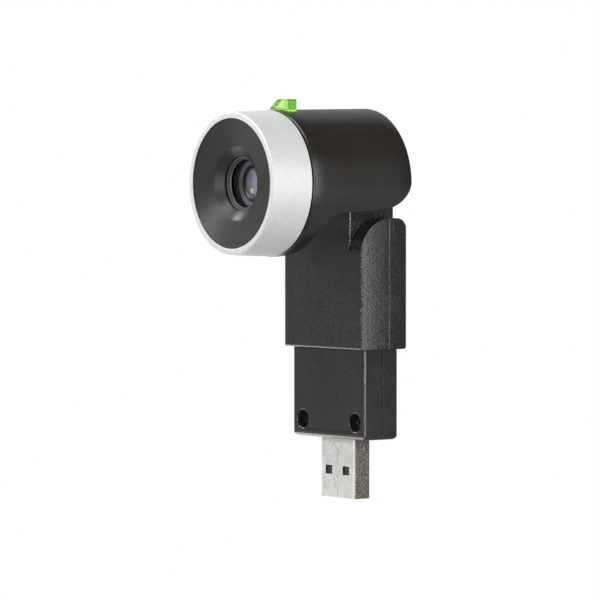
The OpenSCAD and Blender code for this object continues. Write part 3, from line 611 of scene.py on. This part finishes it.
def lathe_group():
    """Normal of a lathe-turned face: it leans in and out along the radius with fine rings, each at
    its own angle. Vector is measured from the lens axis, Lean is the size of the lean."""
    rings_per_metre = 90000.0
    group, given, out = make_group(
        "lathe_rings", {"Vector": "Vector", "Lean": "Float"}, {"Normal": "Vector"})
    flat = vector_maths(group, "MULTIPLY", given["Vector"], (1, 0, 1)).outputs["Vector"]
    radius = vector_maths(group, "LENGTH", flat).outputs["Value"]
    outward = vector_maths(group, "NORMALIZE", flat).outputs["Vector"]
    ring = group.nodes.new("ShaderNodeTexWhiteNoise")
    ring.noise_dimensions = "1D"
    place(group, maths(group, "MULTIPLY", radius, rings_per_metre), ring.inputs["W"])
    lean = maths(group, "MULTIPLY", maths(group, "SUBTRACT", ring.outputs["Value"], 0.5), given["Lean"])
    scaled = group.nodes.new("ShaderNodeVectorMath")
    scaled.operation = "SCALE"
    place(group, outward, scaled.inputs[0])
    place(group, lean, scaled.inputs["Scale"])
    into_world = group.nodes.new("ShaderNodeVectorTransform")
    into_world.vector_type = "VECTOR"
    into_world.convert_from = "OBJECT"
    into_world.convert_to = "WORLD"
    place(group, scaled.outputs[0], into_world.inputs[0])
    surface = group.nodes.new("ShaderNodeNewGeometry")
    leaning = vector_maths(group, "ADD", surface.outputs["Normal"], into_world.outputs[0]).outputs["Vector"]
    place(group, vector_maths(group, "NORMALIZE", leaning).outputs["Vector"], out["Normal"])
    return group


lathe_rings = lathe_group()


def from_axis(tree, at):
    """Object coordinates measured from the lens axis at the front of the ring."""
    centre = tree.nodes.new("ShaderNodeMapping")
    centre.inputs["Location"].default_value = (0, -ring_front, -axis_z)
    place(tree, at, centre.inputs["Vector"])
    return centre.outputs["Vector"]


def satin_silver():
    """Sprayed silver: flake specks a fraction of a millimetre across, in a paint that is part metal, with
    a painted edge highlight in near white on its corners.
    """
    dark_flake, light_flake = (0.58, 0.585, 0.59), (0.71, 0.715, 0.715)
    material, tree, shader, at = new_finish("satin_silver", 0.55, 0.35)
    flake = noise(tree, at, 3800.0)
    cloud = noise(tree, at, 160.0, 3.0)
    edge = use_group(tree, corner_mask, Vector=at, Radius=0.20 * mm)["Mask"]
    paint = mix_colours(tree, remap(tree, flake, 0.35, 0.65), dark_flake, light_flake)
    clouded = mix_colours(tree, remap(tree, cloud, 0.3, 0.7, 0.0, 0.25), paint, (0.55, 0.555, 0.56))
    # Corners are painted near white: a painted edge highlight.
    place(tree, mix_colours(tree, edge, clouded, (0.92, 0.92, 0.92)), shader.inputs["Base Color"])
    place(tree, remap(tree, flake, 0.3, 0.7, 0.50, 0.62), shader.inputs["Roughness"])
    raise_surface(tree, shader, flake, 0.25, 0.02 * mm)
    return material


ring_corners = [
    (nose_radius, ring_length, 0.05 * mm),
    (nose_radius, lip_depth + 0.55 * mm, 0.05 * mm),
    (lip_radius, lip_depth, 0.05 * mm),
    (lip_radius, 0, 0.12 * mm),
    (ring_outer - 0.40 * mm, 0, 0.40 * mm),
    (ring_outer, ring_length, 0.15 * mm)]
silver_paint = satin_silver()
ring_mesh = surface_mesh("silver_ring", turned(rounded_profile(ring_corners)), close_u=True, close_v=True)
new_piece("silver_ring", ring_mesh, silver_paint, "head", "front_ring", "front_ring")

# ---------- Lens dish ----------
# A black moulding inside the ring: a shallow bowl, turned in the tool so that fine rings show in
# it, with a steeper cone down to the lens hole and a skirt that plugs the nose of the barrel.
dish_low, dish_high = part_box("lens_dish")
dish_outer = (dish_high[2] - dish_low[2]) / 2
skirt_back = dish_high[1] - ring_front
skirt_radius = ring_outer - 2.27 * mm
cone_radius, cone_depth = 7.95 * mm, 1.20 * mm
hole_radius, hole_depth = 5.95 * mm, 2.75 * mm
cone_back = hole_depth + 0.55 * mm
flange_radius = 8.60 * mm
skirt_wall = 1.0 * mm
flange_back = cone_depth + 1.85 * mm


def turned_black(name, colour, roughness, lean, dark_within=0.0):
    """Black plastic or anodised metal with lathe rings and a slight variation of its shine. Nearer
    the lens axis than dark_within it is painted near black."""
    material, tree, shader, at = new_finish(name, roughness)
    texture = use_group(tree, spark_texture, Vector=at, Scale=5200.0)
    low, high = [c * 0.8 for c in colour], [c * 1.2 for c in colour]
    half_blur = 0.05 * mm
    centred = from_axis(tree, at)
    flat = vector_maths(tree, "MULTIPLY", centred, (1, 0, 1)).outputs["Vector"]
    radius = vector_maths(tree, "LENGTH", flat).outputs["Value"]
    outside = remap(tree, radius, dark_within - half_blur, dark_within + half_blur)
    tinted = mix_colours(tree, texture["Tint"], low, high)
    place(tree, mix_colours(tree, outside, (0.006, 0.006, 0.007), tinted), shader.inputs["Base Color"])
    rough = remap(tree, texture["Patches"], 0.0, 1.0, roughness - 0.03, roughness + 0.04)
    place(tree, rough, shader.inputs["Roughness"])
    rings = use_group(tree, lathe_rings, Vector=centred, Lean=lean)
    place(tree, rings["Normal"], shader.inputs["Normal"])
    return material


dish_corners = [
    (dish_outer, lip_depth + 0.60 * mm, 0.02 * mm),
    (lip_radius, lip_depth + 0.05 * mm, 0.05 * mm),
    (cone_radius, cone_depth, 0.45 * mm),
    (hole_radius, hole_depth, 0.12 * mm),
    (hole_radius, cone_back, 0.05 * mm),
    (flange_radius, cone_back, 0.05 * mm),
    (flange_radius, cone_depth + 1.30 * mm, 0.05 * mm),
    (skirt_radius - skirt_wall, cone_depth + 1.0 * mm, 0.05 * mm),
    (skirt_radius - skirt_wall, skirt_back, 0.05 * mm),
    (skirt_radius, skirt_back, 0.05 * mm),
    (skirt_radius, flange_back, 0.05 * mm),
    (dish_outer, flange_back, 0.05 * mm)]
dish_black = turned_black("dish_black", (0.014, 0.013, 0.011), 0.34, 0.70)
dish_mesh = surface_mesh("dish_bowl", turned(rounded_profile(dish_corners)), close_u=True, close_v=True)
new_piece("dish_bowl", dish_mesh, dish_black, "head", "lens_dish", "lens_dish")

# ---------- Lens set ----------
# A stepped baffle and a threaded retaining ring, both anodised a blue-black, in front of three
# coated glass lenses in a black barrel, with the filter and the sensor behind them.
anodised = turned_black("blue_black_anodised", (0.085, 0.09, 0.105), 0.32, 0.30)
hood_outer = 8.40 * mm
hood_back = 4.60 * mm
hood_corners = [
    (hood_outer, cone_back, 0.05 * mm),
    (5.55 * mm, cone_back, 0.10 * mm),
    (5.45 * mm, 3.75 * mm, 0.06 * mm),
    (5.20 * mm, 3.95 * mm, 0.03 * mm),
    (5.20 * mm, 4.05 * mm, 0.03 * mm),
    (5.90 * mm, 4.10 * mm, 0.05 * mm),
    (6.10 * mm, hood_back, 0.05 * mm),
    (hood_outer, hood_back, 0.05 * mm)]
hood_mesh = surface_mesh("stepped_baffle", turned(rounded_profile(hood_corners)), close_u=True, close_v=True)
new_piece("stepped_baffle", hood_mesh, anodised, "head", "lens_hood", "lens_hood")

retainer_outer = 5.13 * mm
retainer_back = 6.73 * mm
retainer_steps = 4
tread = np.linspace(4.75, 3.40, retainer_steps + 1) * mm
riser = np.linspace(5.95, 6.40, retainer_steps + 1) * mm
stair = np.full((2 * retainer_steps, 3), 0.03 * mm)
stair[0::2, 0] = tread[:-1]
stair[0::2, 1] = riser[:-1] + 0.001 * mm
stair[1::2, 0] = tread[:-1]
stair[1::2, 1] = riser[1:]
retainer_corners = [
    (retainer_outer, 5.95 * mm, 0.04 * mm),
    *stair.tolist(),
    (3.40 * mm, 6.50 * mm, 0.02 * mm),
    (4.30 * mm, retainer_back, 0.03 * mm),
    (retainer_outer, retainer_back, 0.03 * mm)]
rim_anodised = turned_black("rim_anodised", (0.13, 0.135, 0.155), 0.32, 0.30, dark_within=4.15 * mm)
retainer_grid = turned(rounded_profile(retainer_corners, steps=4))
retainer_mesh = surface_mesh("retaining_ring", retainer_grid, close_u=True, close_v=True)
new_piece("retaining_ring", retainer_mesh, rim_anodised, "head", "lens_retainer", "lens_retainer")
barrel_anodised = turned_black("barrel_anodised", (0.030, 0.030, 0.034), 0.34, 0.2)
dress("lens_barrel", barrel_anodised, 0.05 * mm)


def coated_glass(name, colour, roughness, film):
    """Ground and coated lens glass: film is the thickness of its coating in nanometres."""
    material, tree, shader, at = new_finish(name, roughness)
    shader.inputs["Transmission Weight"].default_value = 0.92
    shader.inputs["IOR"].default_value = 1.60
    shader.inputs["Thin Film Thickness"].default_value = film
    shader.inputs["Thin Film IOR"].default_value = 1.38
    dusty_colour = [c * 0.85 for c in colour]
    dust = remap(tree, noise(tree, at, 1800.0, 3.0), 0.55, 0.75)
    place(tree, mix_colours(tree, dust, colour, dusty_colour), shader.inputs["Base Color"])
    place(tree, remap(tree, dust, 0.0, 1.0, roughness, roughness + 0.05), shader.inputs["Roughness"])
    return material


def lens_profile(radius, front, back, dome_front, dome_back, points=20):
    """Section of a lens from the axis in front to the axis behind. Each face is an arc of a sphere
    whose radius is (r squared + dome squared) / (2 dome)."""
    r = np.linspace(0, radius, points)
    front_sphere = (radius ** 2 + dome_front ** 2) / (2 * dome_front)
    back_sphere = (radius ** 2 + dome_back ** 2) / (2 * dome_back)
    front_face = front - dome_front + front_sphere - np.sqrt(front_sphere ** 2 - r ** 2)
    back_face = back + dome_back - back_sphere + np.sqrt(back_sphere ** 2 - r ** 2)
    return np.concatenate([np.stack([r, front_face], 1), np.stack([r, back_face], 1)[::-1]])


# Each lens: its radius, the depths of its front and back rims, the heights of its front and back domes,
# all in millimetres, then its tint and the thickness of its coating in nanometres.
lens_sizes = {
    "front_lens": (4.30, 6.78, 7.30, 0.60, 0.50, (0.80, 0.86, 1.00), 420.0),
    "middle_lens": (3.85, 8.35, 8.60, 0.30, 0.35, (0.88, 0.92, 1.00), 330.0),
    "rear_lens": (3.35, 9.50, 9.90, 0.35, 0.25, (0.88, 1.00, 0.92), 500.0)}
for lens_name, (radius, front, back, dome_front, dome_back, tint, film) in lens_sizes.items():
    section = lens_profile(radius * mm, front * mm, back * mm, dome_front * mm, dome_back * mm)
    lens_mesh = surface_mesh(lens_name + "_glass", turned(section, around=96), close_u=True)
    lens_glass = coated_glass(lens_name + "_coated", tint, 0.02, film)
    new_piece(lens_name + "_glass", lens_mesh, lens_glass, "head", lens_name, lens_name)
dress("ir_filter", coated_glass("filter_glass", (0.55, 0.25, 0.30), 0.03, 600.0))
sensor_package = turned_black("sensor_package", (0.05, 0.09, 0.10), 0.20, 0.05)
dress("image_sensor", sensor_package, 0.04 * mm)

# ---------- Shutter ----------
# A ring of clear green acrylic that the thumb turns by its tab, and the black leaf it drives over
# the lens. The tab is palest through its middle and deepest in colour along its edges.
tab_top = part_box("shutter_sleeve")[1][2]
window_centre = (1.3 * mm, 0.0, tab_top - 1.15 * mm)
window_half = (2.5 * mm, 0.85 * mm)


def green_acrylic():
    """Clear tinted acrylic: pale inside a soft-edged window over the middle of the tab, where it is
    moulded thin, and deep green outside it and on its edges."""
    material, tree, shader, at = new_finish("green_acrylic", 0.22)
    shader.inputs["Transmission Weight"].default_value = 0.75
    shader.inputs["IOR"].default_value = 1.30
    edge = use_group(tree, corner_mask, Vector=at, Radius=0.9 * mm)["Mask"]
    swirl = noise(tree, at, 500.0)
    pale = mix_colours(tree, remap(tree, swirl, 0.3, 0.7), (0.62, 0.91, 0.32), (0.76, 0.94, 0.50))
    centre = tree.nodes.new("ShaderNodeMapping")
    centre.inputs["Location"].default_value = [-c for c in window_centre]
    place(tree, at, centre.inputs["Vector"])
    off = tree.nodes.new("ShaderNodeSeparateXYZ")
    place(tree, centre.outputs["Vector"], off.inputs[0])
    across = maths(tree, "MULTIPLY", maths(tree, "ABSOLUTE", off.outputs["X"]), 1 / window_half[0])
    upward = maths(tree, "MULTIPLY", maths(tree, "ABSOLUTE", off.outputs["Z"]), 1 / window_half[1])
    rim = remap(tree, maths(tree, "MAXIMUM", across, upward), 0.75, 1.0)
    deep = maths(tree, "MAXIMUM", rim, edge)
    place(tree, mix_colours(tree, deep, pale, (0.36, 0.74, 0.13)), shader.inputs["Base Color"])
    place(tree, remap(tree, swirl, 0.3, 0.7, 0.16, 0.28), shader.inputs["Roughness"])
    return material


dress("shutter_sleeve", green_acrylic(), 0.04 * mm)
dress("shutter_blade", inner_black, 0.05 * mm)
